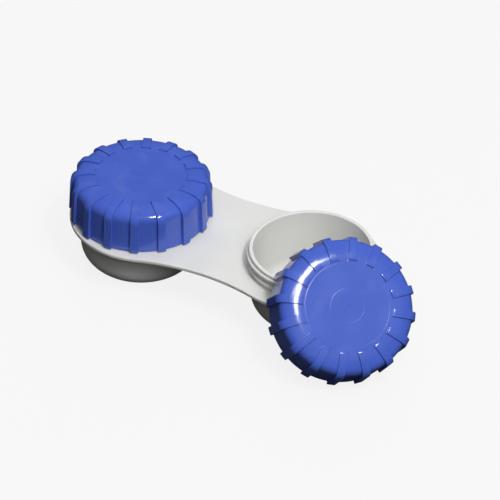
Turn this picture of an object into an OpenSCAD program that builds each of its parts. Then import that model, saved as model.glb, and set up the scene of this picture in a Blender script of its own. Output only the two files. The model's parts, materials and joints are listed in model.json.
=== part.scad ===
// Contact lens case: a one-piece base with two wells, and two identical screw caps with sealing discs.
// The left cap is screwed on. The right cap is off and leans against the base on the table.
// Origin: centre of the left well's foot, on the table. +X runs to the right well, +Z is up.

/* [Base plate] */
// Distance between the centres of the two wells
well_spacing = 38; // [36:0.5:50]
// Radius of the plate's round ends
end_r = 15.6; // [15:0.1:19]
// How far the round ends sit in from the well centres
end_inset = 1.4; // [0:0.1:2]
// Half width of the plate at its waist
waist_half = 12.9; // [9:0.1:14]
// Thickness of the plate
plate_t = 0.8; // [0.6:0.1:1.6]

/* [Wells] */
// Height of the plate's top face above the table
plate_top = 11.2; // [9:0.1:14]
// Inner radius of a well at the rim
mouth_r = 11.7; // [9.5:0.1:12.3]
// How much a well narrows on its way down
well_draft = 0.35; // [0:0.05:0.8]
// Wall and floor thickness of a well
well_wall = 0.8; // [0.6:0.1:1.2]
// Outer radius of the rounded corner at the foot
foot_round = 4.7; // [2:0.1:6]
// Height of the neck above the plate
neck_h = 3.9; // [3.9:0.1:6]
// Radius of the rounding on the rim
rim_round = 0.25; // [0.1:0.05:0.35]

/* [Thread] */
// Rise of the thread in one turn
thread_pitch = 1.6; // [1.6:0.1:2.4]
// Height of the ridge over the wall it stands on
thread_h = 0.45; // [0.3:0.05:0.6]
// Width of the ridge at the wall
thread_root_w = 0.85; // [0.6:0.05:0.9]
// Width of the ridge at its crest
thread_crest_w = 0.4; // [0.2:0.05:0.45]
// Radial clearance between the cap's thread and the neck
thread_gap = 0.15; // [0.1:0.05:0.25]
// Turns of thread on the neck
neck_turns = 1.45; // [1:0.05:1.45]
// Turns of thread in the cap
cap_turns = 1.2; // [0.75:0.05:1.2]

/* [Cap] */
// Skirt wall between the bore and the panels
cap_wall = 0.75; // [0.7:0.05:1.5]
// How far the ribs stand out of the skirt
rib_proud = 0.65; // [0.3:0.05:1]
// Width of a rib
rib_w = 1.7; // [1:0.1:2.4]
// Number of ribs
rib_count = 16; // [8:1:20]
// Height of the cap from its mouth to its flat top
cap_h = 8.75; // [8:0.25:12]
// How much the skirt narrows from its mouth to its shoulder
cap_draft = 0.25; // [0:0.05:0.4]
// Radius of the shoulder's corner
corner_r = 1.8; // [1.5:0.1:3]
// Width of the crowned edge of the top, corner included
crown_w = 4.75; // [3.8:0.05:5.4]
// Radius of the crown along that edge
crown_r = 12; // [9:0.5:30]
// How far the ribs stand over the flat top
rib_top_proud = 0.3; // [0.1:0.05:0.6]
// Thickness of the roof
roof_t = 1.3; // [0.8:0.1:1.5]
// Gap between the closed cap and the plate
cap_gap = 0.25; // [0.1:0.05:0.6]
// Radius of the fine ring at the middle of the top
centre_ring_r = 3.45; // [2:0.05:5]
// Height of the fine rings on the top
ring_step = 0.05; // [0.02:0.01:0.2]
// Angle of the ribs against the thread
rib_angle = 21.3; // [0:0.1:22.5]

/* [Sealing disc] */
// Thickness of the disc
seal_t = 1; // [0.6:0.1:1.4]
// Radial gap between the disc and the cap's bore
seal_gap = 0.2; // [0.1:0.05:0.4]
// Air between the disc and what it faces
seal_air = 0.05; // [0.02:0.01:0.1]
// Depth of the dish in the middle of the disc
seal_dish = 0.35; // [0.1:0.05:0.5]

/* [Loose cap] */
// Tilt of the loose cap from upright
lean_tilt = 45.3; // [30:0.1:55]
// Direction in which the loose cap stands off the right well
lean_azimuth = -45.2; // [-60:0.1:-30]
// Turn of the loose cap about its own axis
lean_turn = 5.3; // [0:0.1:22.5]
// Gap between the loose cap's mouth and the plate's edge
lean_gap = 0.2; // [0.1:0.05:2]

/* [Hidden] */
$fn = 96;

base_colour = [0.86, 0.86, 0.85];
cap_colour = [0.29, 0.38, 0.78];
seal_colour = [0.93, 0.93, 0.90];
eps = 0.01;
past = 1;                // how far a cut runs past what it cuts
embed = 0.15;            // depth of a thread ridge inside its wall
steps_per_turn = 48;
taper_steps = 4;         // steps in which a ridge runs out
ridge_tip = 0.3;         // share of a step by which its first section stands out
neck_thread_angle = 147;
neck_thread_gap = 0.3;   // plain wall between the plate and the neck's thread
cap_thread_gap = 0.42;   // plain bore between the cap's mouth and its thread
rib_corner = 0.4;        // how much wider the ribs' corner is rounded than the cap's
rib_inset = 0.15;        // from the edge of the flat top to the ribs' inner ends
ring_inset = 0.5;        // from the edge of the flat top to the edge ring
corner_steps = 6;
crown_steps = 2;
ring_w = 0.36;           // width of the fine rings
land_reach = 0.2;        // how far the land in the cap reaches in over the well's mouth
land_round = 1.2;        // rounding between the land and the roof
dish_edge = 0.8;         // flat of the disc inside the well's mouth
dish_slope = 0.4;        // width of the step down into the dish

// Plate outline
waist_arm = well_spacing / 2 - end_inset;
waist_r = (waist_arm * waist_arm + waist_half * waist_half - end_r * end_r) / (2 * (end_r - waist_half));
waist_centre = waist_half + waist_r;
tangent_part = end_r / (end_r + waist_r);
tangent_x = waist_arm * (1 - tangent_part);
tangent_y = waist_centre * tangent_part;

// Well and neck
plate_bottom = plate_top - plate_t;
rim_z = plate_top + neck_h;
neck_r = mouth_r + well_wall;
floor_r = mouth_r - well_draft;
foot_r = floor_r + well_wall;
foot_flat = foot_r - foot_round;
inner_round = foot_round - well_wall;

// Threads
neck_crest = neck_r + thread_h;
bore_r = neck_crest + thread_gap;
cap_crest = neck_r + thread_gap;
neck_thread_z = plate_top + neck_thread_gap + thread_root_w / 2;
cap_thread_z = cap_thread_gap + thread_root_w / 2;
thread_rise = plate_top + cap_gap + cap_thread_z - neck_thread_z + thread_pitch / 2;
cap_thread_angle = neck_thread_angle + 360 * thread_rise / thread_pitch;

// Cap
body_r = bore_r + cap_wall;
rib_r = body_r + rib_proud;
flat_r = body_r - crown_w;
rib_inner = flat_r + rib_inset;
top_ring_r = flat_r - ring_inset;
cap_z = plate_top + cap_gap;
seal_z = neck_h - cap_gap + seal_air;
land_z = seal_z + seal_t + seal_air;
land_r = mouth_r - land_reach;
roof_z = cap_h - roof_t;
seal_r = bore_r - seal_gap;

// Loose cap: its lowest rib stands on the table and its mouth stays clear of the plate's edge
plate_reach = end_r - end_inset * cos(lean_azimuth);
mouth_plane = plate_reach * sin(lean_tilt) + plate_top * cos(lean_tilt) + lean_gap;
lean_z = rib_r * sin(lean_tilt);
lean_out = (mouth_plane - lean_z * cos(lean_tilt)) / sin(lean_tilt);

module plate_outline() {
    difference() {
        union() {
            for (side = [-1, 1]) translate([side * waist_arm, 0]) circle(r = end_r);
            square([2 * tangent_x, 2 * tangent_y], center = true);
        }
        for (side = [-1, 1]) translate([0, side * waist_centre]) circle(r = waist_r, $fn = 360);
    }
}

// Solid region of a well's outside, from its axis out
module well_outside() {
    polygon([
        [0, 0], [foot_flat, 0], [foot_flat, foot_round], [foot_r, foot_round],
        [neck_r - eps, plate_top], [0, plate_top]
    ]);
    intersection() {
        translate([foot_flat, foot_round]) circle(r = foot_round);
        square([foot_r + past, plate_bottom]);
    }
}

// Neck wall with a rounded rim
module neck_outline() {
    polygon([
        [0, plate_top - eps], [neck_r, plate_top - eps], [neck_r, rim_z - rim_round],
        [neck_r - rim_round, rim_z - rim_round], [neck_r - rim_round, rim_z], [0, rim_z]
    ]);
    translate([neck_r - rim_round, rim_z - rim_round]) circle(r = rim_round, $fn = 32);
}

// The hollow of a well, open at the rim
module well_hollow() {
    polygon([
        [0, well_wall], [foot_flat, well_wall], [foot_flat, foot_round], [floor_r, foot_round],
        [mouth_r, rim_z], [mouth_r, rim_z + past], [0, rim_z + past]
    ]);
    intersection() {
        translate([foot_flat, foot_round]) circle(r = inner_round);
        square([foot_r, plate_bottom]);
    }
}

// One section of a ridge: two points in the wall and two on the crest
function ridge_section(angle, z, wall_r, crest_r, part) =
    let (crest = wall_r + (crest_r - wall_r) * part)
    let (ends = [[wall_r, -thread_root_w / 2], [crest, -thread_crest_w / 2],
                 [crest, thread_crest_w / 2], [wall_r, thread_root_w / 2]])
    [for (p = ends) [p[0] * cos(angle), p[0] * sin(angle), z + p[1]]];

// A right-hand thread ridge that runs out at both ends
module thread_ridge(wall_r, crest_r, start_angle, start_z, turns) {
    steps = ceil(turns * steps_per_turn);
    points = [
        for (i = [0:steps])
            let (part = min(1, (min(i, steps - i) + ridge_tip) / taper_steps))
            each ridge_section(start_angle + 360 * turns * i / steps,
                start_z + thread_pitch * turns * i / steps, wall_r, crest_r, part)
    ];
    sides = [
        for (i = [0:steps - 1], k = [0:3])
            let (a = 4 * i + k, b = 4 * i + (k + 1) % 4)
            each [[a, b, b + 4], [a, b + 4, a + 4]]
    ];
    last = 4 * steps;
    caps = [[0, 2, 1], [0, 3, 2], [last, last + 1, last + 2], [last, last + 2, last + 3]];
    faces = concat(sides, caps);
    polyhedron(points, crest_r > wall_r ? faces : [for (f = faces) [f[0], f[2], f[1]]]);
}

module base() {
    color(base_colour)
    difference() {
        union() {
            translate([well_spacing / 2, 0, plate_bottom]) linear_extrude(plate_t) plate_outline();
            for (x = [0, well_spacing]) translate([x, 0, 0]) {
                rotate_extrude() well_outside();
                rotate_extrude() neck_outline();
                thread_ridge(neck_r - embed, neck_crest, neck_thread_angle, neck_thread_z, neck_turns);
            }
        }
        for (x = [0, well_spacing]) translate([x, 0, 0]) rotate_extrude() well_hollow();
    }
}

// Points on an arc about a centre
function arc_points(centre, r, from, to, steps) =
    [for (i = [0:steps]) let (a = from + (to - from) * i / steps) centre + r * [cos(a), sin(a)]];

// A cap's outside: a drafted skirt, a round corner, a gentle crown and a flat top
module cap_outline(r, h, round_r, top_r) {
    corner_x = r - cap_draft - round_r;
    lean = acos((corner_x - top_r) / (crown_r - round_r));
    corner_z = h - crown_r + (crown_r - round_r) * sin(lean);
    polygon(concat(
        [[0, 0], [r, 0]],
        arc_points([corner_x, corner_z], round_r, 0, lean, corner_steps),
        arc_points([top_r, h - crown_r], crown_r, lean + (90 - lean) / crown_steps, 90, crown_steps - 1),
        [[0, h]]
    ));
}

module ribs() {
    intersection() {
        rotate_extrude() cap_outline(rib_r, cap_h + rib_top_proud, corner_r + rib_corner, rib_inner);
        for (i = [0:rib_count - 1])
            rotate([0, 0, rib_angle + 360 * i / rib_count])
                translate([rib_inner, -rib_w / 2, 0]) cube([rib_r, rib_w, cap_h + past]);
    }
}

// The bore for the neck, the land that holds the disc down, and the space over it
module cap_hollow() {
    polygon([
        [0, -past], [bore_r, -past], [bore_r, land_z], [land_r, land_z],
        [land_r, roof_z - land_round], [land_r - land_round, roof_z - land_round],
        [land_r - land_round, roof_z], [0, roof_z]
    ]);
    translate([land_r - land_round, roof_z - land_round]) circle(r = land_round);
}

module fine_rings() {
    rotate_extrude()
        for (r = [centre_ring_r, top_ring_r])
            translate([r - ring_w / 2, cap_h - eps]) square([ring_w, ring_step + eps]);
}

module cap() {
    union() {
        difference() {
            union() {
                rotate_extrude() cap_outline(body_r, cap_h, corner_r, flat_r);
                ribs();
                fine_rings();
            }
            rotate_extrude() cap_hollow();
        }
        thread_ridge(bore_r + embed, cap_crest, cap_thread_angle, cap_thread_z, cap_turns);
    }
}

module seal() {
    translate([0, 0, seal_z])
    rotate_extrude() polygon([
        [0, seal_dish], [land_r - dish_edge, seal_dish], [land_r - dish_edge + dish_slope, 0],
        [seal_r, 0], [seal_r, seal_t], [0, seal_t]
    ]);
}

module on_left_neck() {
    translate([0, 0, cap_z]) children();
}

module leaning_on_right() {
    translate([well_spacing, 0, 0])
        rotate([0, 0, lean_azimuth])
            translate([lean_out, 0, lean_z])
                rotate([0, lean_tilt, 0])
                    rotate([0, 0, lean_turn]) children();
}

module left_seal() { color(seal_colour) on_left_neck() seal(); }
module left_cap() { color(cap_colour) on_left_neck() cap(); }
module right_seal() { color(seal_colour) leaning_on_right() seal(); }
module right_cap() { color(cap_colour) leaning_on_right() cap(); }

base();
left_seal();
left_cap();
right_seal();
right_cap();
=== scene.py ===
import json
import math

import bpy
from mathutils import Euler, Matrix, Vector


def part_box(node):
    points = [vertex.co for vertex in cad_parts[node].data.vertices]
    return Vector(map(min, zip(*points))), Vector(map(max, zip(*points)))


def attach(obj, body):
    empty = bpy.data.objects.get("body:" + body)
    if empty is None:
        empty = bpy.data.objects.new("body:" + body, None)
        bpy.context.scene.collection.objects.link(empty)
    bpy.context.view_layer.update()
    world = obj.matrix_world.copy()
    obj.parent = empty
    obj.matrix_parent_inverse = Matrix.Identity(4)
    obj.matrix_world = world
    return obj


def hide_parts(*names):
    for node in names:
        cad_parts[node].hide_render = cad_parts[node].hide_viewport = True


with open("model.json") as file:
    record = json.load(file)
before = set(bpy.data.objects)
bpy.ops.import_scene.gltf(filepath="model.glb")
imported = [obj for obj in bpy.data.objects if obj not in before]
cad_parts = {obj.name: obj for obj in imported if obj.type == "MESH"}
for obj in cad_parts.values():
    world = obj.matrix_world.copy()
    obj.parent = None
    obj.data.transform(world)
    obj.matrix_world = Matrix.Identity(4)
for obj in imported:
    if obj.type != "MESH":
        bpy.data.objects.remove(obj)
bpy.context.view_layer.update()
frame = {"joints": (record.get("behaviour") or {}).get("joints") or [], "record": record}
mm = 0.001
tiny = 0.002 * mm   # vertices nearer than this are one vertex

joints = {joint["name"]: joint for joint in frame["joints"]}
feet = {mount["name"]: Vector(mount["pos_m"]) for mount in frame["record"]["mounts"]}
baseLow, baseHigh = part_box("base")


# helpers for drawing and editing meshes

def onlySelect(*objects):
    if bpy.context.object and bpy.context.object.mode != "OBJECT":
        bpy.ops.object.mode_set(mode="OBJECT")
    bpy.ops.object.select_all(action="DESELECT")
    for item in objects:
        item.select_set(True)
    bpy.context.view_layer.objects.active = objects[0] if objects else None


def editAll(item):
    onlySelect(item)
    bpy.ops.object.mode_set(mode="EDIT")
    bpy.ops.mesh.select_mode(type="VERT")
    bpy.ops.mesh.select_all(action="SELECT")


def leaveEdit():
    bpy.ops.object.mode_set(mode="OBJECT")


def editFaces(item, wanted):
    # edit mode with only the faces that pass the test selected
    onlySelect(item)
    bpy.ops.object.mode_set(mode="EDIT")
    bpy.ops.mesh.select_mode(type="FACE")
    bpy.ops.mesh.select_all(action="DESELECT")
    leaveEdit()
    for polygon in item.data.polygons:
        polygon.select = wanted(polygon)
    bpy.ops.object.mode_set(mode="EDIT")


def arc(centreR, centreZ, radius, fromDeg, toDeg, steps):
    # points of a round stretch in an (r, z) outline
    angles = [math.radians(fromDeg + (toDeg - fromDeg) * i / steps) for i in range(steps + 1)]
    return [(centreR + radius * math.cos(a), centreZ + radius * math.sin(a)) for a in angles]


def drawOutline(name, points, flat=False):
    # one vertex pulled along the points; (r, z) in millimetres, or (x, y) when flat
    places = [Vector((p[0], p[1], 0) if flat else (p[0], 0, p[1])) * mm for p in points]
    onlySelect()
    bpy.ops.mesh.primitive_plane_add(size=mm)
    item = bpy.context.object
    item.name = name
    editAll(item)
    bpy.ops.mesh.merge(type="CENTER")
    bpy.ops.transform.translate(value=places[0])
    for start, end in zip(places, places[1:]):
        bpy.ops.mesh.extrude_region_move(TRANSFORM_OT_translate={"value": end - start})
    leaveEdit()
    return item


def cleanUp(item):
    editAll(item)
    bpy.ops.mesh.remove_doubles(threshold=tiny)
    bpy.ops.mesh.select_all(action="SELECT")
    bpy.ops.mesh.normals_make_consistent(inside=False)
    leaveEdit()
    return item


def turn(name, points, steps):
    # a half section spun about Z into a closed solid
    item = drawOutline(name, points)
    editAll(item)
    bpy.ops.mesh.spin(steps=steps, angle=2 * math.pi, center=(0, 0, 0), axis=(0, 0, 1))
    return cleanUp(item)


def applyModifier(item, kind, **settings):
    modifier = item.modifiers.new(kind.lower(), kind)
    for key, value in settings.items():
        setattr(modifier, key, value)
    onlySelect(item)
    bpy.ops.object.modifier_apply(modifier=modifier.name)
    return item


def combine(item, tool, operation="UNION"):
    applyModifier(item, "BOOLEAN", object=tool, operation=operation, solver="MANIFOLD")
    bpy.data.objects.remove(tool)
    return item


def twin(item, name, matrix):
    # a copy with its own mesh, moved in the mesh
    copy = item.copy()
    copy.data = item.data.copy()
    copy.name = name
    bpy.context.collection.objects.link(copy)
    copy.data.transform(matrix)
    return copy


def joinAll(items, name):
    onlySelect(*items)
    bpy.ops.object.join()
    joined = bpy.context.object
    joined.name = name
    return joined


def finishSurface(item, sharpDeg=32):
    cleanUp(item)
    onlySelect(item)
    bpy.ops.object.shade_smooth_by_angle(angle=math.radians(sharpDeg))
    applyModifier(item, "WEIGHTED_NORMAL", keep_sharp=True, mode="FACE_AREA")
    return item


humpSteps = 10   # stretches of the outline across a ridge


def threadSection(wallR, crestR, rootW, crestW):
    # a rounded hump from the wall to the crest, closed behind the wall
    points = []
    for i in range(humpSteps + 1):
        across = -1 + 2 * i / humpSteps
        slope = max(0, (abs(across) - crestW / rootW) / (1 - crestW / rootW))
        points.append((wallR + (crestR - wallR) * math.cos(slope * math.pi / 2), across * rootW / 2))
    return points


def threadRidge(name, wallR, crestR, startDeg, startZ, turns, thread):
    # a section carried round by the Screw modifier, with a sloping stretch added at its ends
    section = threadSection(wallR, crestR, thread["rootW"], thread["crestW"])
    item = drawOutline(name, section + section[:1])
    editAll(item)
    bpy.ops.mesh.remove_doubles(threshold=tiny)
    bpy.ops.transform.translate(value=(0, 0, startZ * mm))
    leaveEdit()
    applyModifier(item, "SCREW", angle=2 * math.pi * turns, screw_offset=thread["pitch"] * turns * mm,
                  steps=round(turns * thread["steps"]))
    item.data.transform(Matrix.Rotation(math.radians(startDeg), 4, "Z"))
    editAll(item)
    bpy.ops.mesh.remove_doubles(threshold=tiny)
    bpy.ops.mesh.select_all(action="SELECT")
    bpy.ops.mesh.fill_holes(sides=0)
    leaveEdit()
    cleanUp(item)
    climb = thread["pitch"] * thread["runOutRise"]
    for endDeg, way in ((startDeg, -1), (startDeg + 360 * turns, 1)):
        out = Vector((math.cos(math.radians(endDeg)), math.sin(math.radians(endDeg)), 0))
        along = Vector((-out.y, out.x, 0)) * way
        sink = math.copysign(thread["sink"], wallR - crestR)
        editFaces(item, lambda face: len(face.vertices) > 4 and face.normal.dot(along) > 0.5)
        move = along * thread["runOut"] + out * sink + Vector((0, 0, way * climb))
        bpy.ops.mesh.extrude_region_move(TRANSFORM_OT_translate={"value": move * mm})
        leaveEdit()
    return cleanUp(item)


threads = {
    "pitch": 1.6,
    "rootW": 0.85,
    "crestW": 0.4,
    "ridgeH": 0.45,     # height of a ridge over its wall
    "embed": 0.15,      # how far a ridge reaches into its wall
    "steps": 96,        # sections in one turn
    "runOut": 1.7,      # length of the sloping stretch
    "runOutRise": 0.025,   # share of the pitch that it climbs
    "sink": 0.75,       # how far it drops
}


# the base is a waisted plate with two wells
baseSizes = {
    "endR": 15.6,
    "endInset": 1.4,
    "waistHalf": 12.9,
    "plateT": 0.8,
    "plateTop": 11.2,
    "plateEdge": 0.16,     # rounding of the plate's edges
    "mouthR": 11.7,
    "floorR": 11.35,
    "wall": 0.8,
    "footRound": 4.7,
    "rimOuter": 0.25,
    "rimInner": 0.2,
    "neckFillet": 0.18,
    "underFillet": 0.45,
    "inPlate": 0.2,        # how far the well's outline keeps inside the plate
    "holeDepth": 4,        # tool that opens the plate over a well
    "endSteps": 96,
    "waistSteps": 40,
    "footSteps": 24,
    "innerFootSteps": 20,
    "neckSteps": 5,
    "edgeSteps": 6,
    "bevelSteps": 3,
    "bevelFromDeg": 60,
    "neckThreadDeg": 147,
    "neckThreadZ": 11.925,
    "neckTurns": 1.45,
    "steps": 192,
}


def plateOutline(s, spacing):
    arm = spacing / 2 - s["endInset"]
    waistR = (arm ** 2 + s["waistHalf"] ** 2 - s["endR"] ** 2) / (2 * (s["endR"] - s["waistHalf"]))
    centreY = s["waistHalf"] + waistR
    lean = math.degrees(math.atan2(centreY, arm))   # direction from an end's centre to the waist's
    middle = spacing / 2
    right = arc(middle + arm, 0, s["endR"], lean - 180, 180 - lean, s["endSteps"])
    top = arc(middle, centreY, waistR, -lean, lean - 180, s["waistSteps"])
    left = arc(middle - arm, 0, s["endR"], lean, 360 - lean, s["endSteps"])
    bottom = arc(middle, -centreY, waistR, 180 - lean, lean, s["waistSteps"])
    return right + top[1:] + left[1:] + bottom[1:]


def wellOutline(s, rimZ):
    footFlat = s["floorR"] + s["wall"] - s["footRound"]
    neckR = s["mouthR"] + s["wall"]
    under = s["plateTop"] - s["plateT"]
    wide = neckR + s["underFillet"]
    neck = neckR + s["neckFillet"]
    edgeSteps = s["edgeSteps"]
    return (
        [(0, 0)]
        + arc(footFlat, s["footRound"], s["footRound"], -90, 0, s["footSteps"])
        + arc(wide, under - s["underFillet"], s["underFillet"], 180, 90, edgeSteps)
        + [(wide, under + s["inPlate"]), (neck, s["plateTop"] - s["inPlate"])]
        + arc(neck, s["plateTop"] + s["neckFillet"], s["neckFillet"], 270, 180, s["neckSteps"])
        + arc(neckR - s["rimOuter"], rimZ - s["rimOuter"], s["rimOuter"], 0, 90, edgeSteps)
        + arc(s["mouthR"] + s["rimInner"], rimZ - s["rimInner"], s["rimInner"], 90, 180, edgeSteps)
        + arc(footFlat, s["footRound"], s["footRound"] - s["wall"], 0, -90, s["innerFootSteps"])
        + [(0, s["wall"])]
    )


def makeBase():
    s = baseSizes
    spacing = (feet["right_foot"] - feet["left_foot"]).x / mm
    plate = cleanUp(drawOutline("base_moulding", plateOutline(s, spacing), flat=True))
    editAll(plate)
    bpy.ops.mesh.edge_face_add()
    bpy.ops.transform.translate(value=(0, 0, (s["plateTop"] - s["plateT"]) * mm))
    bpy.ops.mesh.extrude_region_move(TRANSFORM_OT_translate={"value": (0, 0, s["plateT"] * mm)})
    leaveEdit()
    cleanUp(plate)
    applyModifier(plate, "BEVEL", width=s["plateEdge"] * mm, segments=s["bevelSteps"], limit_method="ANGLE",
                  angle_limit=math.radians(s["bevelFromDeg"]))
    well = turn("well", wellOutline(s, baseHigh.z / mm), s["steps"])
    neckR = s["mouthR"] + s["wall"]
    ridge = threadRidge("neck_ridge", neckR - threads["embed"], neckR + threads["ridgeH"],
                        s["neckThreadDeg"], s["neckThreadZ"], s["neckTurns"], threads)
    combine(well, ridge)
    onlySelect()
    bpy.ops.mesh.primitive_cylinder_add(vertices=s["steps"], radius=(s["mouthR"] + s["wall"] / 2) * mm,
                                        depth=s["holeDepth"] * mm, location=(0, 0, s["plateTop"] * mm))
    hole = bpy.context.object
    hole.data.transform(hole.matrix_world)
    hole.matrix_world = Matrix.Identity(4)
    for foot in feet.values():
        there = Matrix.Translation(foot)
        combine(plate, twin(hole, "hole", there), "DIFFERENCE")
    for foot in feet.values():
        combine(plate, twin(well, "well_copy", Matrix.Translation(foot)))
    bpy.data.objects.remove(hole)
    bpy.data.objects.remove(well)
    return finishSurface(plate)


base = makeBase()
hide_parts("base")
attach(base, "base")
print("base done", len(base.data.polygons), "faces")


# a cap is a turned shell with ribs outside and a thread inside
capSizes = {
    "boreR": 13.1,
    "wall": 0.75,
    "draft": 0.25,          # how much the skirt narrows upwards
    "height": 8.75,
    "cornerR": 1.8,         # the shoulder's corner
    "crownW": 4.75,         # width of the gently crowned edge, corner included
    "crownR": 12,
    "lip": 0.12,            # rounding of the mouth's edge
    "rings": (3.45, 8.6),   # two fine beads on the flat top
    "ringW": 0.36,
    "ringRise": 0.011,
    "ringEdge": 0.08,       # flat kept level beside a bead
    "gateR": 0.5,           # the small flat left by the mould's gate
    "gateSink": 0.04,
    "gateSlope": 0.05,
    "landZ": 4.75,
    "landR": 11.5,
    "roofZ": 7.45,
    "landRound": 1.2,
    "landCorner": 0.15,     # cut off where the bore meets the land
    "roofCorner": 0.1,      # cut off where the land meets the hollow under the roof
    "ribs": 16,
    "ribProud": 0.65,
    "ribTopProud": 0.3,
    "ribInset": 0.15,       # the ribs' inner ends stand this far outside the flat top
    "ribCorner": 0.4,       # how much wider the ribs' corner is rounded
    "ribW": 1.7,
    "ribEdge": 0.09,        # rounding of a rib's edges
    "ribSink": 0.2,         # how far a rib's inner end reaches below the top
    "ribFoot": 0.05,        # from the mouth's edge up to the ribs
    "ribRoot": 0.93,        # size of a rib's buried side against its outer line
    "bevelSteps": 3,
    "bevelFromDeg": 40,
    "ribDeg": 21.3,
    "gap": 0.25,            # between the closed cap and the plate
    "threadZ": 0.845,
    "threadTurns": 1.2,
    "crownSteps": 8,
    "cornerSteps": 16,
    "beadSteps": 8,
    "lipSteps": 4,
    "landSteps": 8,
    "steps": 192,
}


def shoulder(s, flatR, outerR, top, cornerR):
    # from the flat top a gentle crown, then a tighter corner down to the skirt
    crownR = s["crownR"]
    lean = math.acos((outerR - cornerR - flatR) / (crownR - cornerR))
    cornerZ = top - crownR + (crownR - cornerR) * math.sin(lean)
    crown = arc(flatR, top - crownR, crownR, 90, math.degrees(lean), s["crownSteps"])
    corner = arc(outerR - cornerR, cornerZ, cornerR, math.degrees(lean), 0, s["cornerSteps"])
    return crown + corner[1:]


def bead(s, r):
    # a fine raised ring, with a level strip on each side
    rise = s["ringRise"]
    half = s["ringW"] / 2
    beadR = (half ** 2 + rise ** 2) / (2 * rise)
    spread = math.degrees(math.asin(half / beadR))
    beside = half + s["ringEdge"]
    crest = arc(r, s["height"] + rise - beadR, beadR, 90 + spread, 90 - spread, s["beadSteps"])
    return [(r - beside, s["height"])] + crest + [(r + beside, s["height"])]


def capOutline(s):
    bodyR = s["boreR"] + s["wall"]
    top = s["height"]
    innerRing, outerRing = s["rings"]
    gateZ = top - s["gateSink"]
    landZ = s["landZ"]
    roofRound = s["landRound"]
    return (
        [(0, gateZ), (s["gateR"] - s["gateSlope"], gateZ), (s["gateR"], top)]
        + bead(s, innerRing)
        + bead(s, outerRing)
        + shoulder(s, bodyR - s["crownW"], bodyR - s["draft"], top, s["cornerR"])
        + arc(bodyR - s["lip"], s["lip"], s["lip"], 0, -90, s["lipSteps"])
        + arc(s["boreR"] + s["lip"], s["lip"], s["lip"], 270, 180, s["lipSteps"])
        + [(s["boreR"], landZ - s["landCorner"]), (s["boreR"] - s["landCorner"], landZ)]
        + [(s["landR"] + s["roofCorner"], landZ), (s["landR"], landZ + s["roofCorner"])]
        + arc(s["landR"] - roofRound, s["roofZ"] - roofRound, roofRound, 0, 90, s["landSteps"])
        + [(0, s["roofZ"])]
    )


def makeRib(s):
    # a blade that follows the shoulder, drawn from the side and then given its width
    bodyR = s["boreR"] + s["wall"]
    ribR = bodyR + s["ribProud"]
    innerR = bodyR - s["crownW"] + s["ribInset"]
    top = s["height"] + s["ribTopProud"]
    foot = s["ribFoot"]
    line = shoulder(s, innerR, ribR - s["draft"], top, s["cornerR"] + s["ribCorner"])
    rib = drawOutline("rib", [(innerR, s["height"] - s["ribSink"])] + line + [(ribR, foot)])
    editAll(rib)
    bpy.ops.mesh.extrude_region_move()
    bpy.ops.transform.resize(value=(s["ribRoot"], 1, s["ribRoot"]), center_override=(0, 0, foot * mm))
    bpy.ops.mesh.select_all(action="SELECT")
    bpy.ops.transform.translate(value=(0, -s["ribW"] / 2 * mm, 0))
    bpy.ops.mesh.extrude_region_move(TRANSFORM_OT_translate={"value": (0, s["ribW"] * mm, 0)})
    leaveEdit()
    cleanUp(rib)
    return applyModifier(rib, "BEVEL", width=s["ribEdge"] * mm, segments=s["bevelSteps"],
                         limit_method="ANGLE", angle_limit=math.radians(s["bevelFromDeg"]))


def makeCap():
    s = capSizes
    cap = turn("cap", capOutline(s), s["steps"])
    rib = makeRib(s)
    step = 360 / s["ribs"]
    blades = [twin(rib, "rib_copy", Matrix.Rotation(math.radians(s["ribDeg"] + step * i), 4, "Z"))
              for i in range(s["ribs"])]
    bpy.data.objects.remove(rib)
    combine(cap, joinAll(blades, "ribs"))
    # the cap's ridge runs halfway between the turns of the neck's
    pitch = threads["pitch"]
    rise = baseSizes["plateTop"] + s["gap"] + s["threadZ"] - baseSizes["neckThreadZ"] + pitch / 2
    threadDeg = baseSizes["neckThreadDeg"] + 360 * rise / pitch
    ridge = threadRidge("cap_ridge", s["boreR"] + threads["embed"], s["boreR"] - threads["ridgeH"],
                        threadDeg, s["threadZ"], s["threadTurns"], threads)
    combine(cap, ridge)
    return finishSurface(cap)


looseTurnDeg = 5.3   # how far the loose cap is turned about its own axis
nearlyUpright = 1e-6   # a smaller tilt counts as none


def placed(joint):
    # the frame that a cap is modelled in, put where the cap turns: mouth centre and axis
    axis = Vector(joint["axis"]).normalized()
    tilt = math.acos(min(1, axis.z))
    leaning = tilt > nearlyUpright
    azimuth = math.atan2(axis.y, axis.x) if leaning else 0
    turnBy = math.radians(looseTurnDeg) if leaning else 0
    return (Matrix.Translation(joint["pos_m"]) @ Matrix.Rotation(azimuth, 4, "Z")
            @ Matrix.Rotation(tilt, 4, "Y") @ Matrix.Rotation(turnBy, 4, "Z"))


capPlaces = {"left": placed(joints["left_cap_turn"]), "right": placed(joints["right_cap_turn"])}
capShape = makeCap()
caps = {}
for side, place in capPlaces.items():
    caps[side] = twin(capShape, side + "_cap_shell", place)
    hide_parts(side + "_cap")
    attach(caps[side], side + "_cap")
bpy.data.objects.remove(capShape)
print("caps done", len(caps["left"].data.polygons), "faces each")


# each cap holds a soft sealing disc, dished underneath
sealSizes = {
    "lift": 3.7,        # underside above the cap's mouth
    "thick": 1,
    "radius": 12.9,
    "dish": 0.35,
    "dishR": 10.7,
    "slope": 0.4,
    "soften": 0.05,     # half width of the cut at the slope's foot
    "softenIn": 0.1,    # width of the cut at its upper end
    "softenZ": 0.04,    # height of both cuts
    "edge": 0.2,
    "edgeSteps": 5,
    "steps": 144,
}


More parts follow.
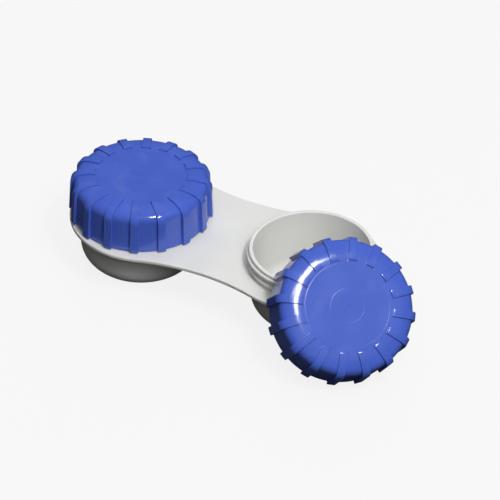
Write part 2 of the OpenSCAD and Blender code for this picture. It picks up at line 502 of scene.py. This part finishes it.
def makeSeal():
    s = sealSizes
    low, high = s["lift"], s["lift"] + s["thick"]
    roof = low + s["dish"]
    footR = s["dishR"] + s["slope"]
    outline = (
        [(0, roof), (s["dishR"] - s["softenIn"], roof), (s["dishR"], roof - s["softenZ"])]
        + [(footR - s["soften"], low + s["softenZ"]), (footR + s["soften"], low)]
        + arc(s["radius"] - s["edge"], low + s["edge"], s["edge"], -90, 0, s["edgeSteps"])
        + arc(s["radius"] - s["edge"], high - s["edge"], s["edge"], 0, 90, s["edgeSteps"])
        + [(0, high)]
    )
    return finishSurface(turn("seal", outline, s["steps"]))


sealShape = makeSeal()
seals = {}
for side, place in capPlaces.items():
    seals[side] = twin(sealShape, side + "_sealing_disc", place)
    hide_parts(side + "_seal")
    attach(seals[side], side + "_seal")
bpy.data.objects.remove(sealShape)
print("sealing discs done")


# helpers for building shader nodes

def addNode(tree, kind, inputs=None, **settings):
    node = tree.nodes.new(kind)
    for key, value in settings.items():
        setattr(node, key, value)
    for key, value in (inputs or {}).items():
        if isinstance(value, bpy.types.NodeSocket):
            tree.links.new(value, node.inputs[key])
        else:
            node.inputs[key].default_value = value
    return node


def calc(tree, operation, *values):
    return addNode(tree, "ShaderNodeMath", dict(enumerate(values)), operation=operation).outputs[0]


def ramp(tree, value, fromLow, fromHigh, toLow=0.0, toHigh=1.0):
    ends = {"Value": value, "From Min": fromLow, "From Max": fromHigh, "To Min": toLow, "To Max": toHigh}
    return addNode(tree, "ShaderNodeMapRange", ends, interpolation_type="SMOOTHSTEP").outputs["Result"]


def newGroup(name, inputs, outputs):
    group = bpy.data.node_groups.new(name, "ShaderNodeTree")
    for label, kind, value in inputs:
        socket = group.interface.new_socket(label, in_out="INPUT", socket_type=kind)
        if value is not None:
            socket.default_value = value
    for label, kind in outputs:
        group.interface.new_socket(label, in_out="OUTPUT", socket_type=kind)
    return group, addNode(group, "NodeGroupInput").outputs, addNode(group, "NodeGroupOutput").inputs


grainLook = {
    "fineDetail": 2.0,
    "fineRough": 0.55,
    "waveDetail": 1.5,
    "waveRough": 0.4,
    "tone": (0.3, 0.7),    # noise values at which the tone starts and ends
}


def makeGrainGroup():
    # skin of a moulded part: a fine pebble on slow waves
    group, given, out = newGroup(
        "mouldedSkin",
        [("Vector", "NodeSocketVector", None), ("Fine Scale", "NodeSocketFloat", 3000.0),
         ("Wave Scale", "NodeSocketFloat", 180.0), ("Wave Share", "NodeSocketFloat", 0.5)],
        [("Height", "NodeSocketFloat"), ("Tone", "NodeSocketFloat")])
    fine = addNode(group, "ShaderNodeTexNoise", {"Vector": given["Vector"], "Scale": given["Fine Scale"],
                                                 "Detail": grainLook["fineDetail"],
                                                 "Roughness": grainLook["fineRough"]})
    wave = addNode(group, "ShaderNodeTexNoise", {"Vector": given["Vector"], "Scale": given["Wave Scale"],
                                                 "Detail": grainLook["waveDetail"],
                                                 "Roughness": grainLook["waveRough"]})
    waves = calc(group, "MULTIPLY", wave.outputs["Fac"], given["Wave Share"])
    rest = calc(group, "SUBTRACT", 1.0, given["Wave Share"])
    grain = calc(group, "MULTIPLY", fine.outputs["Fac"], rest)
    group.links.new(calc(group, "ADD", waves, grain), out["Height"])
    group.links.new(ramp(group, wave.outputs["Fac"], *grainLook["tone"]), out["Tone"])
    return group


scuffLook = {
    "lines": ((24, 22), (-52, 30)),   # direction in degrees and stretch of each set of rubs
    "tip": (0.3, 0.2),                # radians by which the rubs tip out of the level
    "detail": 2.0,
    "line": (0.66, 0.74),             # noise values between which a rub shows
    "patchScale": 140.0,
    "patch": (0.45, 0.65),
}


def makeScuffGroup():
    # hairline rubs in two directions, thinned out by a patchy noise
    group, given, out = newGroup(
        "handlingScuffs",
        [("Vector", "NodeSocketVector", None), ("Scale", "NodeSocketFloat", 260.0),
         ("Amount", "NodeSocketFloat", 0.5)],
        [("Mask", "NodeSocketFloat")])
    lines = []
    for turnDeg, stretch in scuffLook["lines"]:
        mapping = addNode(group, "ShaderNodeMapping", {
            "Vector": given["Vector"], "Rotation": (*scuffLook["tip"], math.radians(turnDeg)),
            "Scale": (1.0, stretch, stretch)})
        noise = addNode(group, "ShaderNodeTexNoise", {"Vector": mapping.outputs[0], "Scale": given["Scale"],
                                                      "Detail": scuffLook["detail"]})
        lines.append(ramp(group, noise.outputs["Fac"], *scuffLook["line"]))
    patch = addNode(group, "ShaderNodeTexNoise", {"Vector": given["Vector"],
                                                  "Scale": scuffLook["patchScale"], "Detail": 1.0})
    both = calc(group, "MAXIMUM", *lines)
    thinned = calc(group, "MULTIPLY", both, ramp(group, patch.outputs["Fac"], *scuffLook["patch"]))
    group.links.new(calc(group, "MULTIPLY", thinned, given["Amount"]), out["Mask"])
    return group


dustLook = {
    "speck": (0.16, 0.08),    # distances from a cell's centre at which a speck starts and is full
    "patchScale": 220.0,
    "patchDetail": 3.0,
    "speckPatch": (0.48, 0.6),
    "filmPatch": (0.5, 0.75),
    "film": 0.25,             # share of the dust that lies as an even film
    "upward": (0.1, 0.9),     # rise of the surface at which dust starts and is full
}


def makeDustGroup():
    # specks that settle where the surface faces up
    group, given, out = newGroup(
        "settledDust",
        [("Vector", "NodeSocketVector", None), ("Normal", "NodeSocketVector", None),
         ("Scale", "NodeSocketFloat", 900.0), ("Amount", "NodeSocketFloat", 0.4)],
        [("Mask", "NodeSocketFloat")])
    specks = addNode(group, "ShaderNodeTexVoronoi", {"Vector": given["Vector"], "Scale": given["Scale"]})
    patch = addNode(group, "ShaderNodeTexNoise", {"Vector": given["Vector"], "Scale": dustLook["patchScale"],
                                                  "Detail": dustLook["patchDetail"]}).outputs["Fac"]
    up = addNode(group, "ShaderNodeSeparateXYZ", {"Vector": given["Normal"]}).outputs["Z"]
    speck = ramp(group, specks.outputs["Distance"], *dustLook["speck"])
    film = calc(group, "MULTIPLY", ramp(group, patch, *dustLook["filmPatch"]), dustLook["film"])
    kept = calc(group, "MULTIPLY", speck, ramp(group, patch, *dustLook["speckPatch"]))
    found = calc(group, "MAXIMUM", kept, film)
    upward = calc(group, "MULTIPLY", found, ramp(group, up, *dustLook["upward"]))
    group.links.new(calc(group, "MULTIPLY", upward, given["Amount"]), out["Mask"])
    return group


grainGroup = makeGrainGroup()
scuffGroup = makeScuffGroup()
dustGroup = makeDustGroup()


def useGroup(tree, group, **inputs):
    node = addNode(tree, "ShaderNodeGroup", node_tree=group)
    for key, value in inputs.items():
        socket = node.inputs[key.replace("_", " ")]
        if isinstance(value, bpy.types.NodeSocket):
            tree.links.new(value, socket)
        else:
            socket.default_value = value
    return node.outputs


def newMaterial(name):
    material = bpy.data.materials.new(name)
    material.use_nodes = True
    tree = material.node_tree
    tree.nodes.clear()
    output = addNode(tree, "ShaderNodeOutputMaterial")
    shader = addNode(tree, "ShaderNodeBsdfPrincipled")
    tree.links.new(shader.outputs["BSDF"], output.inputs["Surface"])
    return material, tree, shader


def pieceVector(tree, place):
    # the piece's own frame, whatever way it lies
    where = place.to_translation()
    turned = place.to_euler()
    return addNode(tree, "ShaderNodeMapping",
                   {"Vector": addNode(tree, "ShaderNodeTexCoord").outputs["Object"],
                    "Location": where, "Rotation": turned}, vector_type="TEXTURE").outputs[0]


def mixColour(tree, factor, first, second):
    node = addNode(tree, "ShaderNodeMix", data_type="RGBA")
    # sockets 6, 7 and output 2 are the mix node's colour ones
    for index, value in ((0, factor), (6, first), (7, second)):
        if isinstance(value, bpy.types.NodeSocket):
            tree.links.new(value, node.inputs[index])
        else:
            node.inputs[index].default_value = value
    return node.outputs[2]


def addBump(tree, shader, height, look):
    bump = addNode(tree, "ShaderNodeBump", {"Height": height, "Strength": look["bump"],
                                            "Distance": look["bumpDepth"] * mm})
    tree.links.new(bump.outputs["Normal"], shader.inputs["Normal"])


# colours and finish of the base and the other pieces
blue = {
    "body": (0.060, 0.116, 0.525, 1),
    "deep": (0.055, 0.107, 0.495, 1),
    "rubbed": (0.120, 0.170, 0.600, 1),
    "dust": (0.50, 0.52, 0.60, 1),
    "roughness": 0.10,
    "scuffTint": 0.3,
    "scuffRough": 0.22,
    "dustRough": 0.5,
    "toneRough": 0.03,
    "bump": 0.35,
    "bumpDepth": 0.02,
    "ior": 1.5,
}


def blueMoulding(name, place):
    material, tree, shader = newMaterial(name)
    vector = pieceVector(tree, place)
    normal = addNode(tree, "ShaderNodeNewGeometry").outputs["Normal"]
    skin = useGroup(tree, grainGroup, Vector=vector, Fine_Scale=2600.0, Wave_Scale=160.0, Wave_Share=0.8)
    scuff = useGroup(tree, scuffGroup, Vector=vector, Scale=150.0, Amount=0.5)["Mask"]
    dust = useGroup(tree, dustGroup, Vector=vector, Normal=normal, Scale=1500.0, Amount=0.18)["Mask"]
    colour = mixColour(tree, skin["Tone"], blue["deep"], blue["body"])
    colour = mixColour(tree, calc(tree, "MULTIPLY", scuff, blue["scuffTint"]), colour, blue["rubbed"])
    colour = mixColour(tree, dust, colour, blue["dust"])
    tree.links.new(colour, shader.inputs["Base Color"])
    rough = calc(tree, "ADD", blue["roughness"], calc(tree, "MULTIPLY", scuff, blue["scuffRough"]))
    rough = calc(tree, "ADD", rough, calc(tree, "MULTIPLY", dust, blue["dustRough"]))
    rough = calc(tree, "ADD", rough, calc(tree, "MULTIPLY", skin["Tone"], blue["toneRough"]))
    tree.links.new(rough, shader.inputs["Roughness"])
    addBump(tree, shader, skin["Height"], blue)
    shader.inputs["IOR"].default_value = blue["ior"]
    return material


white = {
    "body": (0.70, 0.70, 0.675, 1),
    "shade": (0.66, 0.66, 0.64, 1),
    "rubbed": (0.76, 0.76, 0.74, 1),
    "dust": (0.52, 0.51, 0.48, 1),
    "roughness": 0.42,
    "scuffTint": 0.4,
    "scuffGloss": 0.12,
    "dustRough": 0.4,
    "bump": 0.4,
    "bumpDepth": 0.02,
    "ior": 1.49,
}


def whiteMoulding(name):
    material, tree, shader = newMaterial(name)
    vector = pieceVector(tree, Matrix.Identity(4))
    normal = addNode(tree, "ShaderNodeNewGeometry").outputs["Normal"]
    skin = useGroup(tree, grainGroup, Vector=vector, Fine_Scale=3600.0, Wave_Scale=120.0, Wave_Share=0.35)
    scuff = useGroup(tree, scuffGroup, Vector=vector, Scale=120.0, Amount=0.6)["Mask"]
    dust = useGroup(tree, dustGroup, Vector=vector, Normal=normal, Scale=1300.0, Amount=0.15)["Mask"]
    colour = mixColour(tree, skin["Tone"], white["shade"], white["body"])
    colour = mixColour(tree, calc(tree, "MULTIPLY", scuff, white["scuffTint"]), colour, white["rubbed"])
    colour = mixColour(tree, dust, colour, white["dust"])
    tree.links.new(colour, shader.inputs["Base Color"])
    rough = calc(tree, "SUBTRACT", white["roughness"], calc(tree, "MULTIPLY", scuff, white["scuffGloss"]))
    rough = calc(tree, "ADD", rough, calc(tree, "MULTIPLY", dust, white["dustRough"]))
    tree.links.new(rough, shader.inputs["Roughness"])
    addBump(tree, shader, skin["Height"], white)
    shader.inputs["IOR"].default_value = white["ior"]
    return material


rubber = {
    "body": (0.74, 0.73, 0.69, 1),
    "shade": (0.68, 0.67, 0.63, 1),
    "dust": (0.5, 0.5, 0.5, 1),
    "roughness": 0.62,
    "toneRough": 0.1,
    "sheen": 0.15,
    "bump": 0.5,
    "bumpDepth": 0.03,
}


def sealRubber(name, place):
    material, tree, shader = newMaterial(name)
    vector = pieceVector(tree, place)
    normal = addNode(tree, "ShaderNodeNewGeometry").outputs["Normal"]
    skin = useGroup(tree, grainGroup, Vector=vector, Fine_Scale=5200.0, Wave_Scale=200.0, Wave_Share=0.3)
    dust = useGroup(tree, dustGroup, Vector=vector, Normal=normal, Scale=1100.0, Amount=0.3)["Mask"]
    colour = mixColour(tree, skin["Tone"], rubber["shade"], rubber["body"])
    tree.links.new(mixColour(tree, dust, colour, rubber["dust"]), shader.inputs["Base Color"])
    rough = calc(tree, "ADD", rubber["roughness"], calc(tree, "MULTIPLY", skin["Tone"], rubber["toneRough"]))
    tree.links.new(rough, shader.inputs["Roughness"])
    addBump(tree, shader, skin["Height"], rubber)
    shader.inputs["Sheen Weight"].default_value = rubber["sheen"]
    return material


def dress(item, material):
    item.data.materials.clear()
    item.data.materials.append(material)


dress(base, whiteMoulding("white_moulding"))
for side, place in capPlaces.items():
    dress(caps[side], blueMoulding(side + "_blue_moulding", place))
    dress(seals[side], sealRubber(side + "_seal_rubber", place))
print("materials done")


# floor, light and camera
stageSizes = {
    "floor": 6.0,
    "floorColour": (0.86, 0.86, 0.865, 1),
    "floorGlow": (0.93, 0.93, 0.935, 1),
    "floorShadow": 0.08,             # share of the floor's look that takes shadows
    "floorBounce": (0.05, 0.05, 0.05, 1),
    "backdrop": (0.93, 0.93, 0.935, 1),
    "overhead": (0.14, 0.14, 0.145, 1),
    "horizon": (0.07, 0.07, 0.07, 1),
    "skyFade": (0.1, 1.0),           # heights between which the overhead light fades in
    "aim": (0.0252, -0.00167, 0.0112),
    "azimuth": 25.76,
    "elevation": 37.21,
    "distance": 1.45,
    "rollDeg": 0.75,
    "lens": 523,
    "clip": (0.05, 20),
}
# the softboxes only light the object, the other lamps are also mirrored in it
lamps = {
    "big_softbox": {"way": (0.42, -0.45, 0.78), "away": 1.1, "size": (0.8, 0.8), "watts": 6.0},
    "top_softbox": {"way": (0.1, 0.15, 0.98), "away": 1.1, "size": (1.0, 1.0), "watts": 2.9},
    "back_softbox": {"way": (-0.38, 0.82, 0.42), "away": 1.2, "size": (0.8, 0.8), "watts": 4.0},
    "window_light": {"way": (0.45, -0.33, 0.83), "away": 1.0, "size": (0.28, 0.11), "watts": 3.6,
                     "rollDeg": 49},
    "strip_light": {"way": (0.42, -0.31, 0.85), "away": 1.0, "size": (0.34, 0.04), "watts": 1.2},
    "side_panel": {"way": (0.66, -0.24, 0.71), "away": 1.2, "size": (0.6, 0.6), "watts": 0.35},
}


def cameraMix(tree, seen, unseen):
    # one shader for what the camera sees, another for the light that reaches the object
    path = addNode(tree, "ShaderNodeLightPath").outputs["Is Camera Ray"]
    mix = addNode(tree, "ShaderNodeMixShader", {0: path})
    tree.links.new(unseen, mix.inputs[1])
    tree.links.new(seen, mix.inputs[2])
    return mix.outputs[0]


def makeFloor(s):
    onlySelect()
    bpy.ops.mesh.primitive_plane_add(size=s["floor"])
    floor = bpy.context.object
    floor.name = "floor"
    material = bpy.data.materials.new("pale_floor")
    material.use_nodes = True
    tree = material.node_tree
    tree.nodes.clear()
    glow = addNode(tree, "ShaderNodeEmission", {"Color": s["floorGlow"]}).outputs[0]
    matt = addNode(tree, "ShaderNodeBsdfDiffuse", {"Color": s["floorColour"]}).outputs[0]
    bounce = addNode(tree, "ShaderNodeBsdfDiffuse", {"Color": s["floorBounce"]}).outputs[0]
    pale = addNode(tree, "ShaderNodeMixShader", {0: s["floorShadow"]})
    tree.links.new(glow, pale.inputs[1])
    tree.links.new(matt, pale.inputs[2])
    output = addNode(tree, "ShaderNodeOutputMaterial")
    tree.links.new(cameraMix(tree, pale.outputs[0], bounce), output.inputs["Surface"])
    dress(floor, material)


def makeLamp(name, way, away, size, watts, rollDeg=0):
    light = bpy.data.lights.new(name, "AREA")
    light.shape = "RECTANGLE"
    light.size, light.size_y = size
    light.energy = watts
    lamp = bpy.data.objects.new(name, light)
    bpy.context.collection.objects.link(lamp)
    back = Vector(way).normalized()
    lamp.location = Vector(stageSizes["aim"]) + back * away
    lamp.rotation_mode = "QUATERNION"
    roll = Euler((0, 0, math.radians(rollDeg))).to_quaternion()
    lamp.rotation_quaternion = (-back).to_track_quat("-Z", "Y") @ roll
    lamp.visible_glossy = not name.endswith("softbox")


def makeWorld(s):
    # soft light from overhead that fades towards the horizon, on a pale backdrop
    world = bpy.data.worlds.new("soft_studio")
    bpy.context.scene.world = world
    world.use_nodes = True
    tree = world.node_tree
    tree.nodes.clear()
    way = addNode(tree, "ShaderNodeTexCoord").outputs["Generated"]
    height = addNode(tree, "ShaderNodeSeparateXYZ", {"Vector": way}).outputs["Z"]
    sky = mixColour(tree, ramp(tree, height, *s["skyFade"]), s["horizon"], s["overhead"])
    lit = addNode(tree, "ShaderNodeBackground", {"Color": sky}).outputs[0]
    pale = addNode(tree, "ShaderNodeBackground", {"Color": s["backdrop"]}).outputs[0]
    output = addNode(tree, "ShaderNodeOutputWorld")
    tree.links.new(cameraMix(tree, pale, lit), output.inputs["Surface"])


def makeCamera(s):
    camera = bpy.data.objects.new("camera", bpy.data.cameras.new("camera"))
    bpy.context.collection.objects.link(camera)
    a, e = math.radians(s["azimuth"]), math.radians(s["elevation"])
    back = Vector((math.sin(a) * math.cos(e), -math.cos(a) * math.cos(e), math.sin(e)))
    camera.location = Vector(s["aim"]) + back * s["distance"]
    camera.rotation_mode = "QUATERNION"
    roll = Euler((0, 0, math.radians(s["rollDeg"]))).to_quaternion()
    camera.rotation_quaternion = (-back).to_track_quat("-Z", "Y") @ roll
    camera.data.lens = s["lens"]
    camera.data.clip_start, camera.data.clip_end = s["clip"]
    bpy.context.scene.camera = camera


makeFloor(stageSizes)
makeWorld(stageSizes)
for name, settings in lamps.items():
    makeLamp(name, **settings)
makeCamera(stageSizes)
bpy.context.scene.view_settings.view_transform = "Standard"
print("stage done")
